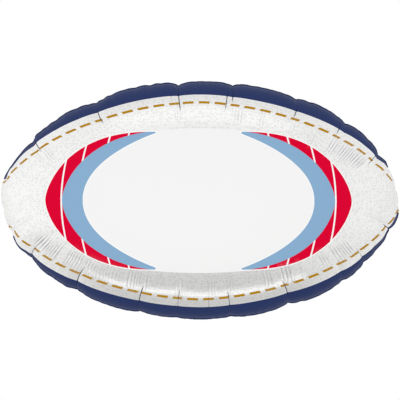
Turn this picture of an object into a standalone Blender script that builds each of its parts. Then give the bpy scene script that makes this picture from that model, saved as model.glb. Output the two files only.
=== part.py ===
# Rugby ball foil balloon: two film panels welded round one flat rim, and a flat
# filling tail that is folded back under the ball.
# Metres, +Z up. X runs along the ball, the front faces -Y, the origin is its centre.

from math import asin, atan2, cos, exp, hypot, pi, radians, sin, sqrt

import bmesh
import bpy
from mathutils import Matrix, Vector

NAME = "rugby_ball_foil_balloon"

# Driving sizes of the inflated ball, over the welded rim
LENGTH = 0.700
HEIGHT = 0.423
DEPTH = 0.270

# Film and weld. The real film is 0.05 mm thick.
FILM_THICK = 0.0020
RIM_THICK = 0.0010
RIM_OUT = 0.0025  # how far the weld stands out past the film
FILM_GAP = 0.0006  # weld to panel edge, because the wall leans in by 0.3 mm
GAP = 0.0003

# Outline: an ellipse drawn in a little between the tips and the waist
SLIMMING = 0.011

# Pleats, anticlockwise from the right-hand tip: place on the rim in degrees, depth
# of its notch in mm, and how far in mm the lobe after it bulges from the ellipse.
PLEATS = (
    (5.2, 4.5, -1.2), (23.2, 7.5, -0.3), (41.5, 5.2, 1.0), (60.7, 5.5, -1.6), (80.5, 6.0, -1.8),
    (96.5, 8.0, 1.2), (122.6, 6.5, 1.6), (149.8, 5.0, -2.4), (163.0, 0.8, 3.8), (184.0, 1.2, 3.0),
    (194.0, 2.0, 2.4), (209.9, 4.2, 1.2), (230.3, 3.8, 1.4), (252.2, 4.0, -0.3), (262.8, 2.2, 0.0),
    (279.0, 3.6, 1.0), (296.8, 5.8, 2.8), (316.3, 2.2, 1.0), (327.4, 5.0, -2.4), (345.5, 4.0, 1.7),
    (357.5, 1.0, 2.2),
)
NOTCH_WIDTH = 0.012
NOTCH_REACH = 0.09  # fraction of the way in at which a notch has faded
BULGE_REACH = 0.12
LEAN = 1.5  # how strongly the pleats turn to stand square to the rim
LEAN_REACH = 0.55  # how far in they do

# Mesh of a panel, its lines closer together at the pleats
STEPS_PER_LOBE = 8
CROWDING = 0.6
RINGS = 9
SUM_STEPS = 24

# Filling tail, measured along its length from the fold
TAIL_LENGTH = 0.060
TAIL_WIDTH = 0.028
TAIL_FLARE = 0.036  # width where it joins the rim
TAIL_FLARE_LENGTH = 0.012
TAIL_CORNER = 0.006
TAIL_START = 0.0015  # from the fold's axis to the plies' near end
TAIL_PLY = 0.0008
VALVE_THICK = 0.0004
VALVE_WIDTH = 0.018
VALVE_END = 0.046
FILL_HOLE_RADIUS = 0.0035
FILL_HOLE_AT = 0.020
TAIL_HINGE_UP = 0.0007  # the fold's axis above the weld's lowest edge

FILM_WHITE = (0.90, 0.90, 0.91, 1.0)
NAVY = (0.024, 0.037, 0.124, 1.0)
CLEAR_FILM = (0.75, 0.77, 0.80, 1.0)

HALF_LENGTH = LENGTH / 2 - RIM_OUT
HALF_HEIGHT = HEIGHT / 2 - RIM_OUT
WELD_Y = RIM_THICK / 2 + FILM_GAP
HALF_DEPTH = DEPTH / 2 - WELD_Y


def clear_scene():
    for thing in list(bpy.data.objects):
        bpy.data.objects.remove(thing, do_unlink=True)


def new_collection(name):
    collection = bpy.data.collections.new(name)
    bpy.context.scene.collection.children.link(collection)
    return collection


def new_material(name, colour, roughness, metallic=0.0):
    material = bpy.data.materials.new(name)
    material.use_nodes = True
    shader = material.node_tree.nodes["Principled BSDF"]
    shader.inputs["Base Color"].default_value = colour
    shader.inputs["Roughness"].default_value = roughness
    shader.inputs["Metallic"].default_value = metallic
    return material


def new_object(name, bm, collection, material=None):
    mesh = bpy.data.meshes.new(name)
    bm.to_mesh(mesh)
    bm.free()
    thing = bpy.data.objects.new(name, mesh)
    if material:
        mesh.materials.append(material)
        mesh.shade_smooth()
        mesh.set_sharp_from_angle(angle=radians(35))
    collection.objects.link(thing)
    return thing


def mylar_depth(s):
    """Half depth over half width, s of the way out, of two flat discs blown up."""
    start = asin(min(s * s, 1.0))
    step = (pi / 2 - start) / SUM_STEPS
    total = 0.0
    for i in range(SUM_STEPS + 1):
        weight = 1 if i in (0, SUM_STEPS) else 4 if i % 2 else 2
        total += weight * sqrt(sin(start + i * step))
    return total * step / 6


FULL_DEPTH = mylar_depth(0.0)


def lobe_at(turn):
    """The lobe, the place in it from 0 to 1, and the rim angle of its two pleats."""
    lobe = int(turn) % len(PLEATS)
    start = PLEATS[lobe][0]
    end = PLEATS[(lobe + 1) % len(PLEATS)][0]
    if end < start:
        end += 360.0
    place = turn - int(turn)
    place -= CROWDING * sin(2 * pi * place) / (2 * pi)
    return lobe, place, radians(start), radians(end)


def lean(angle, s):
    """The angle to add so that a line in from the rim starts square to it."""
    inward = 1.0 - s
    amount = LEAN * inward * exp(-(inward / LEAN_REACH) ** 2)
    stretch = (HALF_LENGTH * sin(angle)) ** 2 + (HALF_HEIGHT * cos(angle)) ** 2
    return -amount * (HALF_LENGTH ** 2 - HALF_HEIGHT ** 2) * sin(angle) * cos(angle) / stretch


def pleat_depth(turn, s):
    """How far the film lies in from the smooth ball, from its lobes and pleats."""
    lobe, place, start, end = lobe_at(turn)
    span = hypot(HALF_LENGTH * (cos(end) - cos(start)), HALF_HEIGHT * (sin(end) - sin(start)))
    bulge = PLEATS[lobe][2] / 1000 * (1 - (2 * place - 1) ** 2)
    depth = -bulge * exp(-(1 - s) / BULGE_REACH)
    for pleat, distance in ((lobe, place * span), (lobe + 1, (1 - place) * span)):
        notch = PLEATS[pleat % len(PLEATS)][1] / 1000
        depth += notch * exp(-distance / NOTCH_WIDTH) * exp(-(1 - s) / NOTCH_REACH)
    return depth


def film_point(turn, s, side):
    """A point of the film: turn counts pleats round the rim, s is 1 at the rim."""
    lobe, place, start, end = lobe_at(turn)
    angle = start + (end - start) * place
    angle += lean(angle, s)
    slim = 1.0 - SLIMMING * (s * sin(2 * angle)) ** 2
    x = HALF_LENGTH * s * slim * cos(angle)
    z = HALF_HEIGHT * s * slim * sin(angle)
    y = WELD_Y + HALF_DEPTH * mylar_depth(s) / FULL_DEPTH
    slope = HALF_DEPTH * s * s / FULL_DEPTH
    out = Vector((slope * cos(angle) / HALF_LENGTH, sqrt(1 - min(s, 1.0) ** 4),
                  slope * sin(angle) / HALF_HEIGHT)).normalized()
    point = Vector((x, y, z)) - out * pleat_depth(turn, s)
    point.y *= side
    return point


def rim_point(turn, outward):
    """A point of the weld's outline, outward from the film's edge."""
    edge = film_point(turn, 1.0, 1)
    lobe, place, start, end = lobe_at(turn)
    angle = start + (end - start) * place
    out = Vector((cos(angle) / HALF_LENGTH, 0.0, sin(angle) / HALF_HEIGHT)).normalized()
    return Vector((edge.x, 0.0, edge.z)) + out * outward


def turn_of(vertex):
    return (atan2(vertex.co.y, vertex.co.x) / (2 * pi) * len(PLEATS)) % len(PLEATS)


def add_panel(name, side, collection, material):
    """One film panel: half a sphere moved to the ball's shape, side -1 is the front."""
    bm = bmesh.new()
    bmesh.ops.create_uvsphere(bm, u_segments=len(PLEATS) * STEPS_PER_LOBE,
                              v_segments=2 * RINGS, radius=1.0)
    below = [v for v in bm.verts if v.co.z < -0.001]
    bmesh.ops.delete(bm, geom=below, context="VERTS")
    flat_centre = sin(radians(90 / RINGS)) + 0.001
    for vertex in bm.verts:
        s = min(hypot(vertex.co.x, vertex.co.y), 1.0)
        moved = film_point(turn_of(vertex), s, side)
        if s < flat_centre:
            moved.y = side * (WELD_Y + HALF_DEPTH)
        vertex.co = moved
    if side > 0:
        bmesh.ops.reverse_faces(bm, faces=bm.faces)
    panel = new_object(name, bm, collection, material)
    wall = panel.modifiers.new("wall", "SOLIDIFY")
    wall.thickness = FILM_THICK
    wall.offset = -1.0
    return panel


def add_rim(collection, material):
    """The flat weld between the panels' edges, following every lobe."""
    bm = bmesh.new()
    bmesh.ops.create_cone(bm, cap_ends=False, segments=len(PLEATS) * STEPS_PER_LOBE,
                          radius1=1.0, radius2=1.0, depth=1.0)
    for vertex in bm.verts:
        outward = RIM_OUT if vertex.co.z < 0 else -FILM_THICK
        vertex.co = rim_point(turn_of(vertex), outward)
    rim = new_object("welded_rim", bm, collection, material)
    sheet = rim.modifiers.new("sheet", "SOLIDIFY")
    sheet.thickness = RIM_THICK
    sheet.offset = 0.0
    return rim


def tail_outline(width, flare, length, thick, corner):
    """A flat strip along -Z from 0, wider at its root, with two rounded corners."""
    bm = bmesh.new()
    bmesh.ops.create_cube(bm, size=1.0, matrix=Matrix.Diagonal((width, thick, length, 1.0)))
    bmesh.ops.translate(bm, verts=bm.verts, vec=(0, 0, -length / 2))
    ends = [e for e in bm.edges
            if all(v.co.z < -length + 1e-6 for v in e.verts) and abs(e.verts[0].co.x - e.verts[1].co.x) < 1e-6]
    bmesh.ops.bevel(bm, geom=ends, affect="EDGES", offset=corner, segments=5, profile=0.5, material=-1)
    bmesh.ops.bisect_plane(bm, geom=bm.verts[:] + bm.edges[:] + bm.faces[:],
                           plane_co=(0, 0, -TAIL_FLARE_LENGTH), plane_no=(0, 0, 1))
    for vertex in bm.verts:
        if vertex.co.z > -1e-6:
            vertex.co.x *= flare / width
    return bm


def fold_back(bm, across):
    """Stand the strip off the fold's axis, then lay it back under the ball."""
    bmesh.ops.translate(bm, verts=bm.verts, vec=(0, across, -TAIL_START))
    bmesh.ops.rotate(bm, verts=bm.verts, cent=(0, 0, 0), matrix=Matrix.Rotation(radians(90), 3, "X"))


def add_tail(collection, cutters, ply_material, valve_material):
    """Two plies with the clear valve film between them, turning about the fold."""
    fold = bpy.data.objects.new("tail_fold", None)
    fold.location = (0, 0, -HEIGHT / 2 + TAIL_HINGE_UP)
    collection.objects.link(fold)
    spacing = VALVE_THICK / 2 + GAP + TAIL_PLY / 2
    for name, across in (("tail_front_ply", -spacing), ("tail_back_ply", spacing)):
        bm = tail_outline(TAIL_WIDTH, TAIL_FLARE, TAIL_LENGTH, TAIL_PLY, TAIL_CORNER)
        fold_back(bm, across)
        ply = new_object(name, bm, collection, ply_material)
        ply.parent = fold
        if across < 0:
            drill_fill_hole(ply, fold, cutters, across)
    bm = tail_outline(VALVE_WIDTH, VALVE_WIDTH, VALVE_END, VALVE_THICK, TAIL_CORNER / 2)
    fold_back(bm, 0.0)
    valve = new_object("valve_film", bm, collection, valve_material)
    valve.parent = fold


def drill_fill_hole(ply, fold, cutters, across):
    bm = bmesh.new()
    bmesh.ops.create_cone(bm, cap_ends=True, segments=20, radius1=FILL_HOLE_RADIUS,
                          radius2=FILL_HOLE_RADIUS, depth=TAIL_PLY + GAP)
    bmesh.ops.translate(bm, verts=bm.verts, vec=(0, TAIL_START + FILL_HOLE_AT, across))
    drill = new_object("fill_hole_cutter", bm, cutters)
    drill.parent = fold
    drill.hide_render = True
    drill.display_type = "WIRE"
    cut = ply.modifiers.new("fill_hole", "BOOLEAN")
    cut.object = drill
    cut.operation = "DIFFERENCE"


def build():
    clear_scene()
    parts = new_collection(NAME)
    cutters = new_collection("cutters")
    film = new_material("printed_film", FILM_WHITE, 0.30)
    navy = new_material("navy_film", NAVY, 0.28)
    clear = new_material("valve_film", CLEAR_FILM, 0.20)
    add_panel("front_panel", -1, parts, film)
    add_panel("back_panel", 1, parts, film)
    add_rim(parts, navy)
    add_tail(parts, cutters, navy, clear)


build()
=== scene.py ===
import random
from bisect import bisect_right
from math import asin, atan2, cos, exp, hypot, pi, radians, sin, sqrt

import bmesh
import bpy
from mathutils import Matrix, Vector, noise


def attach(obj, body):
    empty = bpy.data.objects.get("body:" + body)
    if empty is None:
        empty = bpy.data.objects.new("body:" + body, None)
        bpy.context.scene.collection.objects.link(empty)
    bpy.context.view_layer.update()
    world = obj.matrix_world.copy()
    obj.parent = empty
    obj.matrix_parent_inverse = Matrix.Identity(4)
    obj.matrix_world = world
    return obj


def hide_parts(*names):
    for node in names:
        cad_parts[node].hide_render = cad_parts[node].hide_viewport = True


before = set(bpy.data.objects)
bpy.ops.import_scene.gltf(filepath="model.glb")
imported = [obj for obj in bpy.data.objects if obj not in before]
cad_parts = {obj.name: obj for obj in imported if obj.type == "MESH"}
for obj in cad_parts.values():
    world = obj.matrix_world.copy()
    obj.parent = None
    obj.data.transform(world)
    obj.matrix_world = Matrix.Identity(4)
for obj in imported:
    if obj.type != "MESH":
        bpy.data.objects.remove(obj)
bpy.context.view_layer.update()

# The blown-up ball, in metres, over the welded rim. Slimming draws it in between the tips and the
# middle, and lean turns the film's lines square to the rim
ball = dict(length=0.700, height=0.423, depth=0.270, weldOut=0.0025, slimming=0.011,
            lean=1.5, leanReach=0.55, seamSide=0.0004)
halfLength = ball["length"] / 2 - ball["weldOut"]
halfHeight = ball["height"] / 2 - ball["weldOut"]
halfDepth = ball["depth"] / 2 - ball["seamSide"]

# Pleats anticlockwise from the right tip: rim angle and depth in mm of the notch, how far in mm the
# lobe after it bulges, then the slit's rim angle, depth share, inner end as a share of the way out,
# and the film it hides in mm
pleats = [
    (5.2, 4.5, -2.6, 5.2, 1.0, 0.97, 0.2), (23.2, 7.5, -0.3, 24.5, 0.7, 0.86, 9.1),
    (41.5, 5.2, 0.4, 43.9, 0.9, 0.847, 5.1), (60.7, 5.5, -1.6, 60.3, 1.0, 0.796, 3.4),
    (80.5, 6.0, -1.8, 80.5, 1.0, 0.8, 3.3), (96.5, 8.0, 0.9, 96.4, 1.0, 0.72, 4.1),
    (122.6, 6.5, 0.8, 122.0, 1.0, 0.768, 5.5), (149.8, 5.0, -1.4, 148.3, 1.0, 0.87, 5.8),
    (163.0, 0.4, 3.6, 163.0, 0.0, 0.99, 0.0), (184.0, 1.6, 0.2, 183.2, 0.5, 0.985, 12.9),
    (196.0, 3.2, 2.6, 196.0, 0.3, 0.98, 0.9), (209.9, 4.2, 1.2, 209.4, 0.6, 0.885, 7.0),
    (230.7, 3.8, 1.4, 230.5, 1.0, 0.79, 3.5), (252.2, 4.0, -0.3, 251.8, 1.0, 0.74, 2.8),
    (262.8, 2.2, 0.0, 263.4, 0.7, 0.7, 2.9), (279.0, 3.0, 1.2, 278.5, 0.9, 0.75, 1.6),
    (296.8, 5.8, 2.6, 296.5, 1.0, 0.77, 4.6), (316.3, 2.2, 1.8, 314.6, 0.4, 0.88, 0.2),
    (327.4, 5.0, -2.4, 327.0, 0.35, 0.84, 4.7), (345.5, 4.0, 3.4, 345.2, 1.0, 0.92, 7.7),
    (357.5, 1.0, 0.2, 357.5, 0.0, 0.99, 0.5),
]
# Widths and depths in metres, reaches as shares of the way from the rim to the middle. A slit is as
# deep as it can be from a notch of deepNotch mm, and shallower in the navy edge
pleatShape = dict(notchWidth=0.012, notchReach=0.09, bulgeReach=0.12, slit=0.0028, slitWidth=0.0006,
                  slitFade=0.07, slitLeast=0.35, deepNotch=6, slitInNavy=0.25, intoNavy=0.004,
                  hidesOver=0.0012)
# Slits with no notch: rim angle, depth share, inner end
extraSlits = [(82.2, 0.9, 0.73), (272.4, 0.4, 0.78), (98.6, 0.3, 0.80)]
# Shallow dips in the lobes: rim angle, depth in mm
dips = [(14, 0.9), (18.8, -1.6), (31, 1.2), (42.6, 0.7), (45.5, 1.0), (56.3, 1.5), (75, 0.7), (81.8, 0.8),
        (101.5, 1.2), (104.8, 2.3), (109.3, 1.2), (117, 1.6), (120, 2.4), (125, 1.4), (129, 1.2), (133, -0.4),
        (137.8, 1.8), (141.5, 1.3), (146.8, -1.8), (160, 0.2), (206.6, 2.0), (212.5, 0.8), (221, 0.8),
        (226.8, -1.2), (233, 0.9), (257, 0.3), (267, 0.3), (284.5, 0.3), (290.5, 0.6), (294, 0.8),
        (300.8, 1.6), (311.5, -0.5), (315, -0.8), (318.6, -0.6), (323.5, 1.0), (334.2, 1.2), (339, -0.5),
        (343, 0.9), (350.5, 0.4)]
dipShape = dict(width=0.0065, reach=0.05)
# Fine uneven puckers all along the weld
pucker = dict(count=110, depth=(0.0001, 0.0005), width=(0.002, 0.005), reach=(0.006, 0.03), seed=7)
# Groups of fine gathers inside the stitch line: first and last rim angle, strength
gathers = [
    (206.0, 218.6, 1.0), (222.2, 229.0, 1.0), (230.2, 238.0, 0.5), (238.4, 245.0, 0.35),
    (245.9, 251.4, 0.7), (252.4, 253.4, 0.8), (262.0, 264.4, 0.5), (272.5, 275.0, 0.8),
    (277.8, 280.2, 0.6), (290.0, 293.4, 0.8), (296.4, 300.6, 1.1), (303.0, 304.2, 0.5),
    (311.6, 315.6, 0.7), (318.0, 327.0, 1.1), (346.0, 350.0, 0.25), (353.0, 364.0, 0.3),
    (25.5, 39.0, 1.2), (39.6, 43.6, 1.1), (50.4, 51.6, 0.5), (58.4, 60.2, 0.4),
    (69.4, 71.0, 0.4), (76.6, 79.6, 0.5), (96.2, 98.2, 0.35), (145.6, 149.0, 0.6),
    (150.4, 153.0, 0.35),
]
# A gather's depth and the length of its wave along the rim, in metres; where the group's middle lies
# from the stitch line, how wide it is, and how unevenly its waves are spaced and raised
gatherShape = dict(depth=0.0008, wave=0.0061, middle=-0.0195, spread=0.0135, edge=0.004, steps=3,
                   drift=3.0, driftScale=45, driftSeed=3.1,
                   height=0.85, uneven=0.8, unevenScale=110, unevenSeed=8.7, least=0.01)
# Slow unevenness of the tight film, none in the middle
swell = dict(depth=0.0005, size=0.055, fadeTimes=2.2, fadeFrom=0.9)

# Spacing of the film's lines in metres, fine from a little strength of the gathers on; millimetres
# from a slit to the lines beside it; rings from the middle to the rim
grid = dict(coarse=0.0022, fine=0.00095, fineFrom=0.02, slitSteps=(0.25, 0.5, 0.8, 1.2, 1.7),
            rings=60, ringPower=0.8, sumSteps=24, tableSteps=1440, halvings=12)

# The print, in millimetres from its centre, as it lies on the blown-up film seen from the front.
# An outline is a superellipse: half length, half height, the power of each, and half the straight
# stretch that parts its two halves. A lace is where it crosses the middle and how it bends
printing = dict(
    shiftX=3.5, shiftZ=1.7, skew=0.0148,
    red=(194.6, 121.7, 2.482, 1.619, 75.9), blue=(241.25, 125.75, 2.93, 1.617, 0),
    blueInner=(204.5, 138.2, 1.32, 2.08, 0), tipAt=75.9, keyline=1.8,
    ovalTop=127.8, ovalBend=0.000623, ovalTo=110.0,
    laces=((242.3, 0.00170), (212.1, 0.00147), (172.6, 0.00127), (138.5, 0.00113)), laceWidth=2.8,
    navyEdge=(358.6, 188.0, 1.81, 1.825, 0), navyLine=1.8,
    stitchLine=(353.3, 174.0, 1.74, 1.74, 0), stitchPitch=27.3, stitchLength=18.6, stitchThick=5.1,
    stitchPhase=14.5, stitchThinning=0.7, stitchThinnest=0.12)

# Where the seam prints creep out towards the rim: rim angle, mm for stitches and for navy, half width
creeps = [(5.5, 4.5, 0, 4), (13, 2.6, 2.8, 7), (161, 0, -2.0, 3), (164.7, 0, -3.0, 3.0),
          (169.7, -3.2, -9.0, 3.3), (190, 1.6, 0, 5), (198, 0, -4.0, 2.3), (201.5, 0, -1.2, 3),
          (352, -0.5, -6.5, 7)]

# Camera: level and straight on, the ball 396.5 px wide in a 400 px frame
shot = dict(distance=2.8, frameWidth=0.7062, aimX=-0.0009, aimZ=-0.0005, sensor=36.0, farEnd=200.0)


# Half depth over half width of two flat discs blown up, s of the way out
def mylarDepth(s):
    start = asin(min(s * s, 1.0))
    step = (pi / 2 - start) / grid["sumSteps"]
    total = 0.0
    for i in range(grid["sumSteps"] + 1):
        weight = 1 if i in (0, grid["sumSteps"]) else 4 if i % 2 else 2
        total += weight * sqrt(sin(start + i * step))
    return total * step / 6


fullDepth = mylarDepth(0.0)


def smooth(value):
    value = max(0.0, min(1.0, value))
    return value * value * (3 - 2 * value)


def rimPoint(angle):
    slim = 1.0 - ball["slimming"] * sin(2 * angle) ** 2
    return halfLength * slim * cos(angle), halfHeight * slim * sin(angle)


# Length along a closed line from its right tip, at even steps of the angle
def lengthTable(pointAt):
    table, last = [0.0], Vector(pointAt(0.0))
    for i in range(1, grid["tableSteps"] + 1):
        here = Vector(pointAt(2 * pi * i / grid["tableSteps"]))
        table.append(table[-1] + (here - last).length)
        last = here
    return table


def lengthAt(table, angle):
    place = (angle % (2 * pi)) / (2 * pi) * grid["tableSteps"]
    i = min(int(place), grid["tableSteps"] - 1)
    return table[i] + (table[i + 1] - table[i]) * (place - i)


def angleAt(table, length):
    i = min(bisect_right(table, length), grid["tableSteps"]) - 1
    place = i + (length - table[i]) / (table[i + 1] - table[i])
    return 2 * pi * place / grid["tableSteps"]


rimTable = lengthTable(rimPoint)
rimLength = rimTable[-1]


def onRim(degrees):
    return lengthAt(rimTable, radians(degrees))


# Shortest way round the rim between two places on it
def apart(a, b):
    gap = abs(a - b) % rimLength
    return min(gap, rimLength - gap)


# Place on the rim, depth, width and reach of each shallow dip and each fine pucker
def makeDips():
    rand = random.Random(pucker["seed"])
    found = [(onRim(angle), depth / 1000, dipShape["width"], dipShape["reach"]) for angle, depth in dips]
    for i in range(pucker["count"]):
        place = rimLength * (i + rand.uniform(-0.4, 0.4)) / pucker["count"]
        found.append((place % rimLength, rand.uniform(*pucker["depth"]),
                      rand.uniform(*pucker["width"]), rand.uniform(*pucker["reach"])))
    return found


# Place on the rim, depth and inner end of each slit
def makeSlits():
    found = []
    for rimAngle, notch, bulge, angle, share, end, hidden in pleats:
        if share > 0:
            full = min(1.0, pleatShape["slitLeast"] + notch / pleatShape["deepNotch"])
            found.append((onRim(angle), pleatShape["slit"] * share * full, end))
    return found + [(onRim(angle), pleatShape["slit"] * share, end) for angle, share, end in extraSlits]


pleatPlaces = [onRim(pleat[0]) for pleat in pleats]
slitPlaces = [onRim(pleat[3]) for pleat in pleats]
shallows = makeDips()
slits = makeSlits()
# A group that runs past the right tip ends beyond the rim's length
gatherPlaces = [(onRim(first), onRim(last) + (rimLength if last >= 360 else 0), strength)
                for first, last, strength in gathers]


# Strength of the fine gathers at a place on the rim
def gathersHere(length):
    total = 0.0
    for first, last, strength in gatherPlaces:
        for place in (length, length + rimLength):
            inside = min(place - first, last - place)
            total += strength * smooth(inside / gatherShape["edge"] + 0.5)
    return total


# Length along the rim to the place nearest a point seen from the front
def nearestRim(angle, x, z):
    for step in range(gatherShape["steps"]):
        a, b = halfLength * cos(angle), halfHeight * sin(angle)
        tangentX, tangentZ = -halfLength * sin(angle), halfHeight * cos(angle)
        off = (x - a) * tangentX + (z - b) * tangentZ
        angle += off / (tangentX ** 2 + tangentZ ** 2 + (x - a) * a + (z - b) * b)
    return lengthAt(rimTable, angle)


# How high a fine gather stands at a place on the rim, from -1 to 1 or a little more
def gatherAt(length):
    drift = noise.noise(Vector((length * gatherShape["driftScale"], gatherShape["driftSeed"], 0)))
    drift *= gatherShape["drift"]
    uneven = noise.noise(Vector((length * gatherShape["unevenScale"], gatherShape["unevenSeed"], 0)))
    height = gatherShape["height"] + gatherShape["uneven"] * uneven
    return height * cos(2 * pi * length / gatherShape["wave"] + drift)


# All that depends only on the place along the rim, for one line of the film
def columnAt(length):
    angle = angleAt(rimTable, length)
    lobe = bisect_right(pleatPlaces, length) - 1
    after = (lobe + 1) % len(pleats)
    span = (pleatPlaces[after] - pleatPlaces[lobe]) % rimLength
    place = ((length - pleatPlaces[lobe]) % rimLength) / span
    notch = sum(pleats[index][1] / 1000 * exp(-away / pleatShape["notchWidth"])
                for index, away in ((lobe, place * span), (after, (1 - place) * span)))
    hidden = sum(pleat[6] / 1000 * smooth((length - at) / pleatShape["hidesOver"] + 0.5)
                 for pleat, at in zip(pleats, slitPlaces))
    near = [(depth * exp(-(apart(at, length) / width) ** 2), reach)
            for at, depth, width, reach in shallows if apart(at, length) < 3 * width]
    cuts = [(depth * exp(-(apart(at, length) / pleatShape["slitWidth"]) ** 2), end)
            for at, depth, end in slits if apart(at, length) < 3 * pleatShape["slitWidth"]]
    creep = [0.0, 0.0]
    for at, stitchesOut, navyOut, width in creeps:
        share = exp(-(((angle / pi * 180 - at + 180) % 360 - 180) / width) ** 2) / 1000
        creep = [creep[0] + stitchesOut * share, creep[1] + navyOut * share]
    return dict(angle=angle, length=length, notch=notch, hidden=hidden, near=near, cuts=cuts, creep=creep,
                bulge=pleats[lobe][2] / 1000 * (1 - (2 * place - 1) ** 2))


# All that depends only on how far out the ring of the film is
def ringAt(s):
    inward = 1.0 - s
    return dict(s=s, depth=halfDepth * mylarDepth(s) / fullDepth,
                lean=ball["lean"] * inward * exp(-(inward / ball["leanReach"]) ** 2),
                slope=halfDepth * s * s / fullDepth, root=sqrt(max(0.0, 1 - s ** 4)),
                notchFade=exp(-inward / pleatShape["notchReach"]),
                bulgeFade=exp(-inward / pleatShape["bulgeReach"]))


# The film with no pleats
def plainPoint(column, ring):
    s, angle = ring["s"], column["angle"]
    stretch = (halfLength * sin(angle)) ** 2 + (halfHeight * cos(angle)) ** 2
    angle -= ring["lean"] * (halfLength ** 2 - halfHeight ** 2) * sin(angle) * cos(angle) / stretch
    slim = 1.0 - ball["slimming"] * (s * sin(2 * angle)) ** 2
    out = Vector((ring["slope"] * cos(angle) / halfLength, ring["root"],
                  ring["slope"] * sin(angle) / halfHeight))
    return Vector((halfLength * s * slim * cos(angle), ball["seamSide"] + ring["depth"],
                   halfHeight * s * slim * sin(angle))), out.normalized()


# How far the pleats, dips and gathers take the film in, how deep in a slit it is, and how far down and up
# a gather; the last three set painted shade in slits and gather valleys and a painted highlight on ridges
def sinkAt(column, ring, plain, fromStitches, inNavy):
    inward = 1 - ring["s"]
    sink = column["notch"] * ring["notchFade"] - column["bulge"] * ring["bulgeFade"]
    fold = 0.0
    for cut, end in column["cuts"]:
        cut *= smooth((ring["s"] - end) / pleatShape["slitFade"])
        cut *= 1 - (1 - pleatShape["slitInNavy"]) * smooth(inNavy / pleatShape["intoNavy"])
        sink += cut
        fold = max(fold, cut / pleatShape["slit"])
    for depth, reach in column["near"]:
        sink += depth * exp(-inward / reach)
    share, height = exp(-((fromStitches - gatherShape["middle"]) / gatherShape["spread"]) ** 2), 0.0
    if share > gatherShape["least"]:
        nearest = nearestRim(column["angle"], plain.x, plain.z)
        share *= gathersHere(nearest)
        height = gatherAt(nearest)
        sink -= gatherShape["depth"] * share * height
    fade = smooth(ring["s"] * swell["fadeTimes"] - swell["fadeFrom"])
    sink -= swell["depth"] * noise.noise(plain / swell["size"]) * fade
    return sink, fold, min(1.0, share * max(0.0, 1 - height) / 2), min(1.0, share * max(0.0, height))


# A point of a print outline, in metres
def outlinePoint(angle, outline):
    a, b, powerX, powerZ, straight = outline
    x = (straight + a * abs(cos(angle)) ** (2 / powerX)) / 1000
    z = b / 1000 * abs(sin(angle)) ** (2 / powerZ)
    return (x if cos(angle) > 0 else -x), (z if sin(angle) > 0 else -z)


# Roughly how far in metres a point lies outside a print outline, below 0 inside it. Places and
# slopes are kept off 0, where the outline's powers would break down
def outlineDistance(x, z, outline):
    a, b, powerX, powerZ, straight = outline
    u, v = max((abs(x) * 1000 - straight) / a, 0.02), max(abs(z) * 1000 / b, 0.02)
    value = u ** powerX + v ** powerZ - 1
    steep = hypot(powerX * u ** (powerX - 1) / a, powerZ * v ** (powerZ - 1) / b)
    return value / max(steep, 0.004) / 1000


# Depth of the film at a place seen from the front, found by halving in on its ring
def filmDepth(x, z):
    low, high = 0.0, 1.0
    for step in range(grid["halvings"]):
        s = (low + high) / 2
        depth = halfDepth * mylarDepth(s) / fullDepth
        seen = shot["distance"] / (shot["distance"] - depth)
        if hypot(x / seen / halfLength, z / seen / halfHeight) > s:
            low = s
        else:
            high = s
    return depth, seen


# The stitch line on the blown-up film
def stitchPoint(angle):
    x, z = outlinePoint(angle, printing["stitchLine"])
    x, z = x - printing["shiftX"] / 1000, z - printing["shiftZ"] / 1000
    depth, seen = filmDepth(x, z)
    return x / seen, depth, z / seen


stitchTable = lengthTable(stitchPoint)


# The stitch line's own angle, for the nearest place on it
def stitchAngle(x, z):
    a, b, powerX, powerZ, straight = printing["stitchLine"]
    up, right = (abs(z) / b) ** (powerZ / 2), (abs(x) / a) ** (powerX / 2)
    return atan2(up if z > 0 else -up, right if x > 0 else -right)


# The print's coordinates, its distances from the outlines as seen straight on from the front, and
# how far out from the stitches
def printPlaces(column, plain, out):
    seen = shot["distance"] / (shot["distance"] - plain.y)
    x, z = plain.x * seen + printing["shiftX"] / 1000, plain.z * seen + printing["shiftZ"] / 1000
    along = lengthAt(stitchTable, stitchAngle(x, z)) + column["hidden"] - printing["stitchPhase"] / 1000
    shapes = [outlineDistance(x + printing["skew"] * z, z, printing[name])
              for name in ("red", "blue", "blueInner")]
    overOval = abs(z) - printing["ovalTop"] / 1000 + printing["ovalBend"] * 1000 * x * x
    fromStitches = outlineDistance(x, z, printing["stitchLine"]) - column["creep"][0]
    navyEdge = outlineDistance(x, z, printing["navyEdge"]) - column["creep"][1]
    # Near the rim the film turns away, and the stitches keep most of their seen thickness
    turned = max(out.y, printing["stitchThinnest"]) ** printing["stitchThinning"]
    return (x, z, along), shapes, (fromStitches / turned, navyEdge, overOval), fromStitches


# Lines of the film: coarse round the rim, closer together in the gathers and at the slits
def makeColumns():
    places, place = set(), 0.0
    while place < rimLength - grid["fine"]:
        places.add(round(place, 6))
        place += grid["fine"] if gathersHere(place) > grid["fineFrom"] else grid["coarse"]
    for at, depth, end in slits:
        places.add(round(at, 6))
        places.update(round((at + side * step / 1000) % rimLength, 6)
                      for side in (-1, 1) for step in grid["slitSteps"])
    return [columnAt(place) for place in sorted(places)]


columns = makeColumns()
print("film lines", len(columns))


def newPiece(name, bm, material, body):
    data = bpy.data.meshes.new(name)
    bm.to_mesh(data)
    bm.free()
    data.materials.append(material)
    data.shade_smooth()
    piece = bpy.data.objects.new(name, data)
    bpy.context.scene.collection.objects.link(piece)
    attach(piece, body)
    return piece


# The last layer holds the painted shade in slits and gather valleys and the painted highlight on gather
# ridges
layerNames = ("printPlace", "printShapes", "printEdges", "foldShadeAndHighlight")


# A flat grid with a vertex for each line round the rim and each ring, closed into a disc later
def makeFilmGrid(out):
    bm = bmesh.new()
    bmesh.ops.create_grid(bm, x_segments=len(columns), y_segments=out, size=1.0)
    for name in layerNames:
        bm.verts.layers.float_vector.new(name)
    return bm


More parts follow.
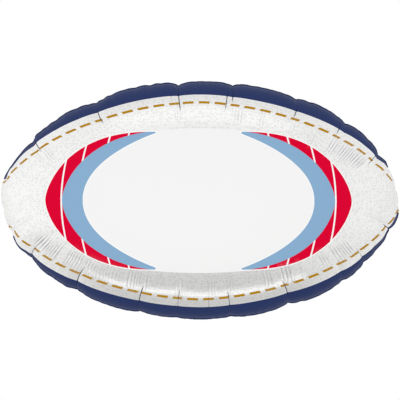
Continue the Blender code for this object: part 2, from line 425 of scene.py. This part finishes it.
# A grid wrapped into a disc and moved to the pleated film: side -1 is the front
def makePanel(name, side, material, node):
    bm = makeFilmGrid(grid["rings"])
    layers = [bm.verts.layers.float_vector[name] for name in layerNames]
    rings = [ringAt(sin(pi / 2 * (i / grid["rings"]) ** grid["ringPower"])) for i in range(grid["rings"] + 1)]
    for vertex in bm.verts:
        column = columns[round((vertex.co.x + 1) / 2 * len(columns)) % len(columns)]
        ring = rings[round((vertex.co.y + 1) / 2 * grid["rings"])]
        plain, out = plainPoint(column, ring)
        place, shapes, edges, fromStitches = printPlaces(column, plain, out)
        # The last three set painted shade in slits and gather valleys and a painted highlight on gather
        # ridges
        sink, fold, valleyShade, ridgeHighlight = sinkAt(column, ring, plain, fromStitches, edges[1])
        for layer, value in zip(layers, (place, shapes, edges, (fold, valleyShade, ridgeHighlight))):
            vertex[layer] = value
        moved = plain - out * sink
        vertex.co = (moved.x, side * moved.y, moved.z)
    bmesh.ops.remove_doubles(bm, verts=bm.verts, dist=1e-6)
    bm.normal_update()
    if sum(face.normal.y for face in bm.faces) * side < 0:
        bmesh.ops.reverse_faces(bm, faces=bm.faces)
    panel = newPiece(name, bm, material, "envelope")
    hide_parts(node)
    return panel


# The weld: flat strip between the films, buckled a little where it follows the pleats
weld = dict(out=0.0025, inside=0.0008, thick=0.0005, buckle=0.0004, buckleWave=0.011,
            drift=3, driftScale=30, pastPrint=0.03)


def makeWeld(material):
    bm = makeFilmGrid(1)
    layers = [bm.verts.layers.float_vector[name] for name in layerNames]
    rim = ringAt(1.0)
    for vertex in bm.verts:
        column = columns[round((vertex.co.x + 1) / 2 * len(columns)) % len(columns)]
        plain, normal = plainPoint(column, rim)
        for layer, value in zip(layers, printPlaces(column, plain, normal)[:3]):
            vertex[layer] = value
        moved = plain - normal * sinkAt(column, rim, plain, weld["pastPrint"], weld["pastPrint"])[0]
        outer = vertex.co.y > 0
        vertex.co = Vector((moved.x, 0, moved.z)) + normal * (weld["out"] if outer else -weld["inside"])
        if outer:
            drift = weld["drift"] * noise.noise(Vector((column["length"] * weld["driftScale"], 0, 5)))
            vertex.co.y = weld["buckle"] * sin(2 * pi * column["length"] / weld["buckleWave"] + drift)
    bmesh.ops.remove_doubles(bm, verts=bm.verts, dist=1e-6)
    piece = newPiece("weld", bm, material, "envelope")
    wall = piece.modifiers.new("thickness", "SOLIDIFY")
    wall.thickness = weld["thick"]
    wall.offset = 0.0
    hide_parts("welded_rim")
    return piece


# sRGB hex to the linear colour that the shader takes
def linear(hexColour):
    channels = [int(hexColour[i:i + 2], 16) / 255 for i in (0, 2, 4)]
    return [c / 12.92 if c <= 0.04045 else ((c + 0.055) / 1.055) ** 2.4 for c in channels] + [1.0]


# A node with its settings, and each socket given a value or another node's output
def addNode(tree, kind, sockets=None, **settings):
    node = tree.nodes.new(kind)
    for name, value in settings.items():
        setattr(node, name, value)
    for socket, value in (sockets or {}).items():
        if isinstance(value, bpy.types.NodeSocket):
            tree.links.new(value, node.inputs[socket])
        elif isinstance(value, bpy.types.Node):
            tree.links.new(value.outputs[0], node.inputs[socket])
        else:
            node.inputs[socket].default_value = value
    return node


def newMaterial(name):
    material = bpy.data.materials.new(name)
    material.use_nodes = True
    tree = material.node_tree
    return material, tree, tree.nodes["Principled BSDF"]


# Polyester film, printed: satin pearl outside, opaque matt ink in the middle
inks = dict(pearl="F7F7F6", pearlGrain="DFDFDD", middle="F3F3F3", red="DC0031", blue="89AECF",
            # Inks 50505A and AAAAAE are painted shade in slits and gather valleys, FFFFFF a painted highlight
            # on gather ridges
            navy="2A3866", gold="B5850E", line="FAFAFA", fold="50505A",
            valleyShade="AAAAAE", valleyShadeShare=0.6, ridgeHighlight="FFFFFF", ridgeHighlightShare=1.0,
            pearlMetallic=0.55, pearlRoughness=0.20, inkRoughness=0.5, specular=0.03,
            grain=4.5, grainScatter=0.65, dotFrom=0.15, dotTo=0.5, grainBump=0.00006, grainStrength=0.6)


def printedFilm():
    material, tree, shader = newMaterial("printedPolyesterFilm")

    def values(name):
        found = addNode(tree, "ShaderNodeAttribute", attribute_name=name)
        return addNode(tree, "ShaderNodeSeparateXYZ", {0: found.outputs["Vector"]}).outputs

    def calc(operation, *numbers):
        return addNode(tree, "ShaderNodeMath", dict(enumerate(numbers)), operation=operation).outputs[0]

    # One colour laid over another where fraction is 1
    def blend(fraction, below, above):
        mix = addNode(tree, "ShaderNodeMix", {"Factor": fraction, 6: below, 7: above}, data_type="RGBA")
        return mix.outputs[2]

    place, shapes, edges, paintedFoldShading = [values(name) for name in layerNames]
    keyline = printing["keyline"] / 1000
    x, z = calc("ABSOLUTE", place[0]), place[1]
    tipAt = printing["tipAt"] / 1000
    beyondBlue = calc("MULTIPLY", calc("GREATER_THAN", shapes[2], 0.0), calc("GREATER_THAN", x, tipAt))
    nearBlue = calc("MULTIPLY", calc("GREATER_THAN", shapes[2], -keyline),
                    calc("GREATER_THAN", x, tipAt - keyline))
    coloured = calc("MULTIPLY", calc("LESS_THAN", shapes[0], 0.0), beyondBlue)
    blue = calc("MULTIPLY", coloured, calc("LESS_THAN", shapes[1], 0.0))
    outlined = calc("MULTIPLY", calc("LESS_THAN", shapes[0], keyline), nearBlue)
    oval = calc("MULTIPLY", calc("LESS_THAN", edges[2], 0.0),
                calc("LESS_THAN", x, printing["ovalTo"] / 1000))
    middle = calc("MAXIMUM", calc("LESS_THAN", shapes[0], keyline), oval)

    zSquared = calc("MULTIPLY", calc("MULTIPLY", z, z), 1000.0)
    laceLines = 0.0
    for start, bend in printing["laces"]:
        off = calc("SUBTRACT", x, calc("MULTIPLY_ADD", zSquared, -bend, start / 1000))
        line = calc("LESS_THAN", calc("ABSOLUTE", off), printing["laceWidth"] / 2000)
        laceLines = calc("MAXIMUM", line, laceLines)
    laceLines = calc("MULTIPLY", laceLines, calc("SUBTRACT", coloured, blue))

    # Stitches: even dashes along their line, which whole pitches keep above 0
    pitch = printing["stitchPitch"] / 1000
    stitchPlace = calc("PINGPONG", calc("ADD", place[2], pitch * 4), pitch / 2)
    dash = calc("LESS_THAN", stitchPlace, printing["stitchLength"] / 2000)
    stitches = calc("MULTIPLY", dash,
                    calc("LESS_THAN", calc("ABSOLUTE", edges[0]), printing["stitchThick"] / 2000))
    navy = calc("GREATER_THAN", edges[1], 0.0)
    edgeLine = calc("GREATER_THAN", edges[1], -printing["navyLine"] / 1000)

    # Leather grain printed on the pearl, in dots 4.5 mm apart
    coords = addNode(tree, "ShaderNodeTexCoord")
    grain = addNode(tree, "ShaderNodeTexVoronoi", {"Vector": coords.outputs["Object"],
                    "Scale": 1000 / inks["grain"], "Randomness": inks["grainScatter"]})
    grainDot = addNode(tree, "ShaderNodeMapRange", {"Value": grain.outputs["Distance"],
                       "From Min": inks["dotFrom"], "From Max": inks["dotTo"],
                       "To Min": 1.0, "To Max": 0.0}).outputs[0]

    colour = blend(grainDot, linear(inks["pearl"]), linear(inks["pearlGrain"]))
    for part, ink in ((edgeLine, "line"), (stitches, "gold"), (navy, "navy"), (middle, "middle"),
                      (outlined, "line"), (coloured, "red"), (laceLines, "line"), (blue, "blue")):
        colour = blend(part, colour, linear(inks[ink]))
    # Painted shade in the slits and the gathers' valleys and painted highlight on their ridges, on all but
    # the navy
    bare = calc("SUBTRACT", 1.0, navy)
    for height, ink in ((paintedFoldShading[1], "valleyShade"), (paintedFoldShading[2], "ridgeHighlight")):
        share = calc("MULTIPLY", height, calc("MULTIPLY", bare, inks[ink + "Share"]))
        colour = blend(share, colour, linear(inks[ink]))
    # Painted shade along the slits
    colour = blend(calc("MULTIPLY", paintedFoldShading[0], bare), colour, linear(inks["fold"]))
    tree.links.new(colour, shader.inputs["Base Color"])

    inked = calc("MAXIMUM", middle, calc("MAXIMUM", stitches, navy))
    metal = calc("MULTIPLY", calc("SUBTRACT", 1.0, inked), inks["pearlMetallic"])
    tree.links.new(metal, shader.inputs["Metallic"])
    rough = addNode(tree, "ShaderNodeMapRange", {"Value": inked, "To Min": inks["pearlRoughness"],
                    "To Max": inks["inkRoughness"]})
    tree.links.new(rough.outputs[0], shader.inputs["Roughness"])
    bump = addNode(tree, "ShaderNodeBump", {"Strength": inks["grainStrength"], "Distance": inks["grainBump"],
                   "Height": calc("MULTIPLY", grainDot, calc("SUBTRACT", 1.0, middle))}, invert=True)
    tree.links.new(bump.outputs[0], shader.inputs["Normal"])
    shader.inputs["Specular IOR Level"].default_value = inks["specular"]
    return material


# The filling tail: two plies welded along both long sides, with a hole to blow through
tail = dict(length=0.060, width=0.028, flare=0.036, flareLength=0.012, corner=0.006, start=0.0015,
            ply=0.0003, spacing=0.0006, hingeUp=0.0007, holeRadius=0.0035, holeAt=0.020,
            sideWeld=0.004, weldShare=0.8, puff=0.0005, acrossSteps=44, alongSteps=88,
            crumple=0.00012, creases=(160, 70, 0.5), wrinkles=(420, 120, 0.2))
foldZ = -ball["height"] / 2 + tail["hingeUp"]


# Half width of the strip, flared where it leaves the weld
def tailHalfWidth(along):
    flared = smooth(1 - along / tail["flareLength"])
    return tail["width"] / 2 + (tail["flare"] - tail["width"]) / 2 * flared


# A sheet laid back from the fold, side 1 above the valve film and -1 below it
def makeTailPly(name, side, material, node, hole=False):
    bm = bmesh.new()
    bmesh.ops.create_grid(bm, x_segments=tail["acrossSteps"], y_segments=tail["alongSteps"], size=1.0)
    for vertex in bm.verts:
        u, v = vertex.co.x, (vertex.co.y + 1) / 2
        along = v * tail["length"]
        half = tailHalfWidth(along)
        toEnd = tail["length"] - along
        if toEnd < tail["corner"]:  # rounded corners at the end
            half -= tail["corner"] - sqrt(max(0.0, tail["corner"] ** 2 - (tail["corner"] - toEnd) ** 2))
        x = u * half
        inner = smooth((half - abs(x)) / tail["sideWeld"] - tail["weldShare"])
        crumple = 0.0
        for (acrossScale, alongScale, share), seed in ((tail["creases"], 4.0 + side),
                                                       (tail["wrinkles"], 9.0)):
            crumple += noise.noise(Vector((x * acrossScale, along * alongScale, seed))) * share
        lift = tail["puff"] * inner * (1 + crumple) + tail["crumple"] * crumple
        vertex.co = (x, tail["start"] + along, foldZ + side * (tail["spacing"] / 2 + lift))
    if hole:
        centre, radius = Vector((0, tail["start"] + tail["holeAt"])), tail["holeRadius"]
        inside = [f for f in bm.faces if (f.calc_center_median().xy - centre).length < radius]
        bmesh.ops.delete(bm, geom=inside, context="FACES")
        ring = {v for e in bm.edges if e.is_boundary for v in e.verts
                if hypot(v.co.x, v.co.y - centre.y) < 2 * radius}
        for vertex in ring:  # drawn onto a true circle
            flat = Vector((vertex.co.x, vertex.co.y - centre.y))
            flat *= radius / flat.length
            vertex.co.x, vertex.co.y = flat.x, centre.y + flat.y
    bmesh.ops.recalc_face_normals(bm, faces=bm.faces)
    if sum(f.normal.z for f in bm.faces) * side < 0:
        bmesh.ops.reverse_faces(bm, faces=bm.faces)
    piece = newPiece(name, bm, material, "tail")
    wall = piece.modifiers.new("thickness", "SOLIDIFY")
    wall.thickness = tail["ply"]
    wall.offset = 0.0
    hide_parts(node)
    return piece


# The clear film between the plies, which closes on itself when the ball is full
valve = dict(width=0.018, length=0.046, thick=0.0002, acrossSteps=16, alongSteps=40,
             ripple=0.00008, acrossScale=300, alongScale=90)


def makeValveFilm(material):
    bm = bmesh.new()
    bmesh.ops.create_grid(bm, x_segments=valve["acrossSteps"], y_segments=valve["alongSteps"], size=1.0)
    for vertex in bm.verts:
        x = vertex.co.x * valve["width"] / 2
        along = (vertex.co.y + 1) / 2 * valve["length"]
        ripple = noise.noise(Vector((x * valve["acrossScale"], along * valve["alongScale"], 2.0)))
        vertex.co = (x, tail["start"] + along, foldZ + valve["ripple"] * ripple)
    piece = newPiece("valveFilm", bm, material, "tail")
    wall = piece.modifiers.new("thickness", "SOLIDIFY")
    wall.thickness = valve["thick"]
    wall.offset = 0.0
    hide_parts("valve_film")
    return piece


# Ribs in millimetres, a little coarser than real ones so that they show
tailInk = dict(navy="2A3866", roughness=0.42, roughnessSpread=0.08, cloudScale=180.0, specular=0.25,
               ribs=0.9, ribBump=0.00005, ribStrength=0.8)


# Polyester film, navy print, with the fine ribs that the welding bar pressed into it
def tailFilm():
    material, tree, shader = newMaterial("navyPolyesterFilm")
    shader.inputs["Base Color"].default_value = linear(tailInk["navy"])
    shader.inputs["Specular IOR Level"].default_value = tailInk["specular"]
    coords = addNode(tree, "ShaderNodeTexCoord")
    ribs = addNode(tree, "ShaderNodeTexWave", {"Vector": coords.outputs["Object"],
                   "Scale": 1000 / tailInk["ribs"] / 20}, wave_type="BANDS", bands_direction="Y")
    where = addNode(tree, "ShaderNodeSeparateXYZ", {0: coords.outputs["Object"]})
    side = addNode(tree, "ShaderNodeMath", {0: where.outputs["X"]}, operation="ABSOLUTE")
    onWeld = addNode(tree, "ShaderNodeMath", {0: side, 1: tail["width"] / 2 - tail["sideWeld"]},
                     operation="GREATER_THAN")
    height = addNode(tree, "ShaderNodeMath", {0: ribs.outputs["Fac"], 1: onWeld}, operation="MULTIPLY")
    bump = addNode(tree, "ShaderNodeBump", {"Strength": tailInk["ribStrength"],
                   "Distance": tailInk["ribBump"], "Height": height})
    tree.links.new(bump.outputs[0], shader.inputs["Normal"])
    cloud = addNode(tree, "ShaderNodeTexNoise", {"Vector": coords.outputs["Object"],
                    "Scale": tailInk["cloudScale"]})
    rough = addNode(tree, "ShaderNodeMapRange", {"Value": cloud.outputs["Fac"],
                    "To Min": tailInk["roughness"] - tailInk["roughnessSpread"],
                    "To Max": tailInk["roughness"] + tailInk["roughnessSpread"]})
    tree.links.new(rough.outputs[0], shader.inputs["Roughness"])
    return material


clearInk = dict(colour="E4E7EA", transmission=0.55, ior=1.51, smoothest=0.22, roughest=0.40,
                cloudScale=240.0)


# Soft polyethylene film, blown: clear with a faint milky haze
def clearFilm():
    material, tree, shader = newMaterial("clearPolyethyleneFilm")
    coords = addNode(tree, "ShaderNodeTexCoord")
    cloud = addNode(tree, "ShaderNodeTexNoise", {"Vector": coords.outputs["Object"],
                    "Scale": clearInk["cloudScale"]})
    haze = addNode(tree, "ShaderNodeMapRange", {"Value": cloud.outputs["Fac"],
                   "To Min": clearInk["smoothest"], "To Max": clearInk["roughest"]})
    tree.links.new(haze.outputs[0], shader.inputs["Roughness"])
    shader.inputs["Base Color"].default_value = linear(clearInk["colour"])
    shader.inputs["Transmission Weight"].default_value = clearInk["transmission"]
    shader.inputs["IOR"].default_value = clearInk["ior"]
    return material


film = printedFilm()
navyFilm = tailFilm()
clear = clearFilm()
weldPiece = makeWeld(film)
for name, side, node in (("filmFront", -1, "front_panel"), ("filmBack", 1, "back_panel")):
    panel = makePanel(name, side, film, node)
print("film made")
lowerPly = makeTailPly("tailPlyLower", -1, navyFilm, "tail_front_ply", hole=True)
upperPly = makeTailPly("tailPlyUpper", 1, navyFilm, "tail_back_ply")
valveFilm = makeValveFilm(clear)
print("weld and tail made")

# Studio: a light tent over a pale floor, grey under the ball as a painted soft shadow. The walls' brightness
# goes by degrees turning up from the front (0), overhead (90), behind (180) and under the ball (-90), and the
# ends' from left to right
studio = dict(floorZ=-3.4, floorRadius=9.4, floorSteps=64, floorFade=(4.2, 8.9), paperRoughness=0.9,
              # B1B1B0 is the paper under the ball, darker there as a painted soft shadow, F5F5F3 the paper
              # towards the ends
              floor="B1B1B0", floorEnds="F5F5F3", endsFromX=1.1, endsToX=3.6, stretchY=2.2,
              walls=((-180, 0.92), (-150, 0.95), (-125, 0.74), (-100, 0.55), (-62, 0.50), (-42, 0.57),
                     (-15, 0.84), (8, 0.84), (30, 0.67), (46, 0.84), (60, 1.08), (72, 1.12),
                     (88, 0.83), (108, 0.70), (140, 0.88), (180, 0.92)),
              ends=((-1.0, 1.05), (-0.7, 0.95), (-0.45, 0.86), (0.45, 0.79), (0.7, 0.87), (1.0, 0.94)),
              endsFrom=0.30, endsTo=0.55, brightest=1.6)
# A soft box in front and a strip below: place, width, height, watts
softBoxes = dict(frontBox=((0.0, -2.25, -0.75), 1.8, 0.8, 12.0),
                 lowStrip=((0.0, -0.27, -1.24), 1.5, 0.18, 0.85))


def makeStudio():
    bm = bmesh.new()
    bmesh.ops.create_circle(bm, cap_ends=True, segments=studio["floorSteps"], radius=studio["floorRadius"])
    data = bpy.data.meshes.new("studioFloor")
    bm.to_mesh(data)
    bm.free()
    material, tree, shader = newMaterial("palePaperPaintedShadow")
    shader.inputs["Roughness"].default_value = studio["paperRoughness"]
    coords = addNode(tree, "ShaderNodeTexCoord")
    # The paper goes from grey under the ball to white towards the ends, a painted soft shadow
    oval = addNode(tree, "ShaderNodeVectorMath", {0: coords.outputs["Object"],
                   1: (1.0, 1 / studio["stretchY"], 1.0)}, operation="MULTIPLY")
    aside = addNode(tree, "ShaderNodeVectorMath", {0: oval}, operation="LENGTH")
    outOfPaintedShadow = addNode(tree, "ShaderNodeMapRange", {"Value": aside.outputs["Value"],
                     "From Min": studio["endsFromX"], "From Max": studio["endsToX"]},
                     interpolation_type="SMOOTHSTEP")
    paperAndShadow = addNode(tree, "ShaderNodeMix", {"Factor": outOfPaintedShadow, 6: linear(studio["floor"]),
                    7: linear(studio["floorEnds"])}, data_type="RGBA")
    tree.links.new(paperAndShadow.outputs[2], shader.inputs["Base Color"])
    # The paper fades into the white air before its edge
    away = addNode(tree, "ShaderNodeVectorMath", {0: coords.outputs["Object"]}, operation="LENGTH")
    fade = addNode(tree, "ShaderNodeMapRange", {"Value": away.outputs["Value"],
                   "From Min": studio["floorFade"][0], "From Max": studio["floorFade"][1],
                   "To Min": 1.0, "To Max": 0.0}, interpolation_type="SMOOTHSTEP")
    tree.links.new(fade.outputs[0], shader.inputs["Alpha"])
    data.materials.append(material)
    floor = bpy.data.objects.new("studioFloor", data)
    floor.location.z = studio["floorZ"]
    bpy.context.scene.collection.objects.link(floor)
    for name, (place, width, height, power) in softBoxes.items():
        lamp = bpy.data.lights.new(name, "AREA")
        lamp.shape, lamp.size, lamp.size_y, lamp.energy = "RECTANGLE", width, height, power
        light = bpy.data.objects.new(name, lamp)
        light.location = place
        light.rotation_euler = (-Vector(place)).to_track_quat("-Z", "Y").to_euler()
        light.visible_camera = False
        bpy.context.scene.collection.objects.link(light)


# Brightness along a ramp of places from 0 to 1, held below 1 in the ramp and raised after it
def addRamp(tree, place, levels):
    ramp = addNode(tree, "ShaderNodeValToRGB", {0: place})
    stops = ramp.color_ramp.elements
    while len(stops) < len(levels):
        stops.new(0.5)
    for stop, (position, level) in zip(stops, levels):
        stop.position = position
        stop.color = [level / studio["brightest"]] * 3 + [1]
    return addNode(tree, "ShaderNodeMath", {0: ramp.outputs["Color"], 1: studio["brightest"]},
                   operation="MULTIPLY")


# White air as the camera sees it, and the tent's walls for the light
def makeWorld():
    world = bpy.data.worlds.new("studioAir")
    bpy.context.scene.world = world
    world.use_nodes = True
    tree = world.node_tree
    background = tree.nodes["Background"]
    background.inputs["Color"].default_value = (1, 1, 1, 1)
    coords = addNode(tree, "ShaderNodeTexCoord")
    x, y, z = addNode(tree, "ShaderNodeSeparateXYZ", {0: coords.outputs["Generated"]}).outputs
    ahead = addNode(tree, "ShaderNodeMath", {0: y, 1: -1.0}, operation="MULTIPLY")
    turn = addNode(tree, "ShaderNodeMath", {0: z, 1: ahead}, operation="ARCTAN2")
    place = addNode(tree, "ShaderNodeMath", {0: turn, 1: 0.5 / pi, 2: 0.5}, operation="MULTIPLY_ADD")
    tent = addRamp(tree, place, [(degrees / 360 + 0.5, level) for degrees, level in studio["walls"]])
    across = addNode(tree, "ShaderNodeMath", {0: x, 1: 0.5, 2: 0.5}, operation="MULTIPLY_ADD")
    ends = addRamp(tree, across, [(side / 2 + 0.5, level) for side, level in studio["ends"]])
    sideways = addNode(tree, "ShaderNodeMath", {0: x}, operation="ABSOLUTE")
    toEnd = addNode(tree, "ShaderNodeMapRange", {"Value": sideways, "From Min": studio["endsFrom"],
                    "From Max": studio["endsTo"]}, interpolation_type="SMOOTHSTEP")
    level = addNode(tree, "ShaderNodeMix", {"Factor": toEnd, "A": tent, "B": ends})
    rays = addNode(tree, "ShaderNodeLightPath")
    strength = addNode(tree, "ShaderNodeMapRange", {"Value": rays.outputs["Is Camera Ray"], "To Min": level,
                       "To Max": 1.0})
    tree.links.new(strength.outputs[0], background.inputs["Strength"])


def makeCamera():
    lens = bpy.data.cameras.new("camera")
    lens.sensor_width = shot["sensor"]
    lens.lens = lens.sensor_width * shot["distance"] / shot["frameWidth"]
    lens.clip_end = shot["farEnd"]
    camera = bpy.data.objects.new("camera", lens)
    camera.location = (shot["aimX"], -shot["distance"], shot["aimZ"])
    camera.rotation_euler = (radians(90), 0, 0)
    bpy.context.scene.collection.objects.link(camera)
    bpy.context.scene.camera = camera


makeStudio()
makeWorld()
makeCamera()
bpy.context.scene.view_settings.view_transform = "Standard"
print("studio made")
